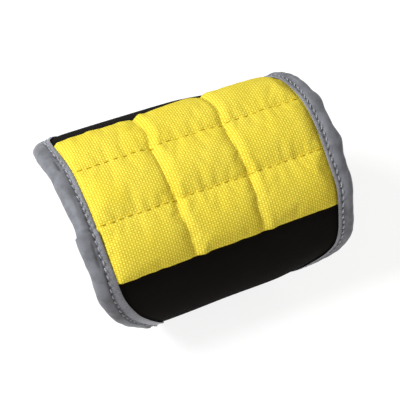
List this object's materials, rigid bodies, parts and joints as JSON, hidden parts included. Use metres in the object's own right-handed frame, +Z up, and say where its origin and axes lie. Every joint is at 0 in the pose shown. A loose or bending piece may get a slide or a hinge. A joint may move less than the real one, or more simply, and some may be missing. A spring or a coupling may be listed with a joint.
{
  "type": "magnetic wristband",
  "caption": "Padded fabric wristband closed into a loop by hook-and-loop straps, with hidden magnets under a woven face that hold screws and nuts.",
  "frame": {"origin": "on the ground under the middle of the loop", "axes": "+X across the band, along the wrist; +Y to the back; +Z up, from the closed straps to the magnet panel"},
  "size_m": [0.098, 0.078, 0.0701],
  "materials": {
    "shell": "smooth black woven polyester",
    "face": "yellow coarse plain-weave polyester",
    "binding": "grey folded binding tape, faintly reflective",
    "lining": "black spacer mesh",
    "pad": "closed-cell foam",
    "magnet": "nickel-plated disc magnet",
    "hook": "black nylon hooks",
    "loop": "black napped loops"
  },
  "bodies": {
    "hook_tail": {"hook_tail_shell": "shell", "hook_tail_lining": "lining", "hook_tail_binding": "binding", "hook_patch": "hook"},
    "rear_strap": {"rear_strap_shell": "shell", "rear_strap_lining": "lining", "rear_strap_binding_left": "binding", "rear_strap_binding_right": "binding"},
    "rear_shoulder": {"rear_shoulder_shell": "shell", "rear_shoulder_lining": "lining", "rear_shoulder_binding_left": "binding", "rear_shoulder_binding_right": "binding"},
    "rear_row": {"rear_row_shell": "shell", "rear_row_lining": "lining", "rear_row_binding_left": "binding", "rear_row_binding_right": "binding", "rear_row_face": "face", "rear_row_pad": "pad", "rear_row_magnet_left": "magnet", "rear_row_magnet_centre": "magnet", "rear_row_magnet_right": "magnet"},
    "middle_row": {"middle_row_shell": "shell", "middle_row_lining": "lining", "middle_row_binding_left": "binding", "middle_row_binding_right": "binding", "middle_row_face": "face", "middle_row_pad": "pad", "middle_row_magnet_left": "magnet", "middle_row_magnet_centre": "magnet", "middle_row_magnet_right": "magnet"},
    "front_row": {"front_row_shell": "shell", "front_row_lining": "lining", "front_row_binding_left": "binding", "front_row_binding_right": "binding", "front_row_face": "face", "front_row_pad": "pad", "front_row_magnet_left": "magnet", "front_row_magnet_centre": "magnet", "front_row_magnet_right": "magnet"},
    "front_shoulder": {"front_shoulder_shell": "shell", "front_shoulder_lining": "lining", "front_shoulder_binding_left": "binding", "front_shoulder_binding_right": "binding"},
    "loop_tail": {"loop_tail_shell": "shell", "loop_tail_lining": "lining", "loop_tail_binding": "binding", "loop_patch": "loop"}
  },
  "joints": [
    {"name": "rear_panel_flex", "type": "hinge", "parent": "middle_row", "child": "rear_row", "pos_m": [0, -0.00026, 0.0687], "axis": [1, 0, 0], "range_deg": [0, 18]},
    {"name": "rear_shoulder_flex", "type": "hinge", "parent": "rear_row", "child": "rear_shoulder", "pos_m": [0, 0.02009, 0.06339], "axis": [1, 0, 0], "range_deg": [0, 45]},
    {"name": "rear_strap_flex", "type": "hinge", "parent": "rear_shoulder", "child": "rear_strap", "pos_m": [0, 0.03883, 0.0269], "axis": [1, 0, 0], "range_deg": [0, 75]},
    {"name": "closure_peel", "type": "hinge", "parent": "rear_strap", "child": "hook_tail", "pos_m": [0, 0.01219, 0], "axis": [1, 0, 0], "range_deg": [0, 140]},
    {"name": "front_panel_flex", "type": "hinge", "parent": "middle_row", "child": "front_row", "pos_m": [0, -0.01789, 0.05851], "axis": [1, 0, 0], "range_deg": [0, 6]},
    {"name": "front_shoulder_flex", "type": "hinge", "parent": "front_row", "child": "front_shoulder", "pos_m": [0, -0.03064, 0.04587], "axis": [1, 0, 0], "range_deg": [0, 12]},
    {"name": "inner_tail_flex", "type": "hinge", "parent": "front_shoulder", "child": "loop_tail", "pos_m": [0, -0.03145, 0.01864], "axis": [1, 0, 0], "range_deg": [0, 30]}
  ],
  "couplings": [
    {"joint": "rear_panel_flex", "follows": "rear_shoulder_flex", "ratio": 0.4},
    {"joint": "front_panel_flex", "follows": "front_shoulder_flex", "ratio": 0.5}
  ]
}
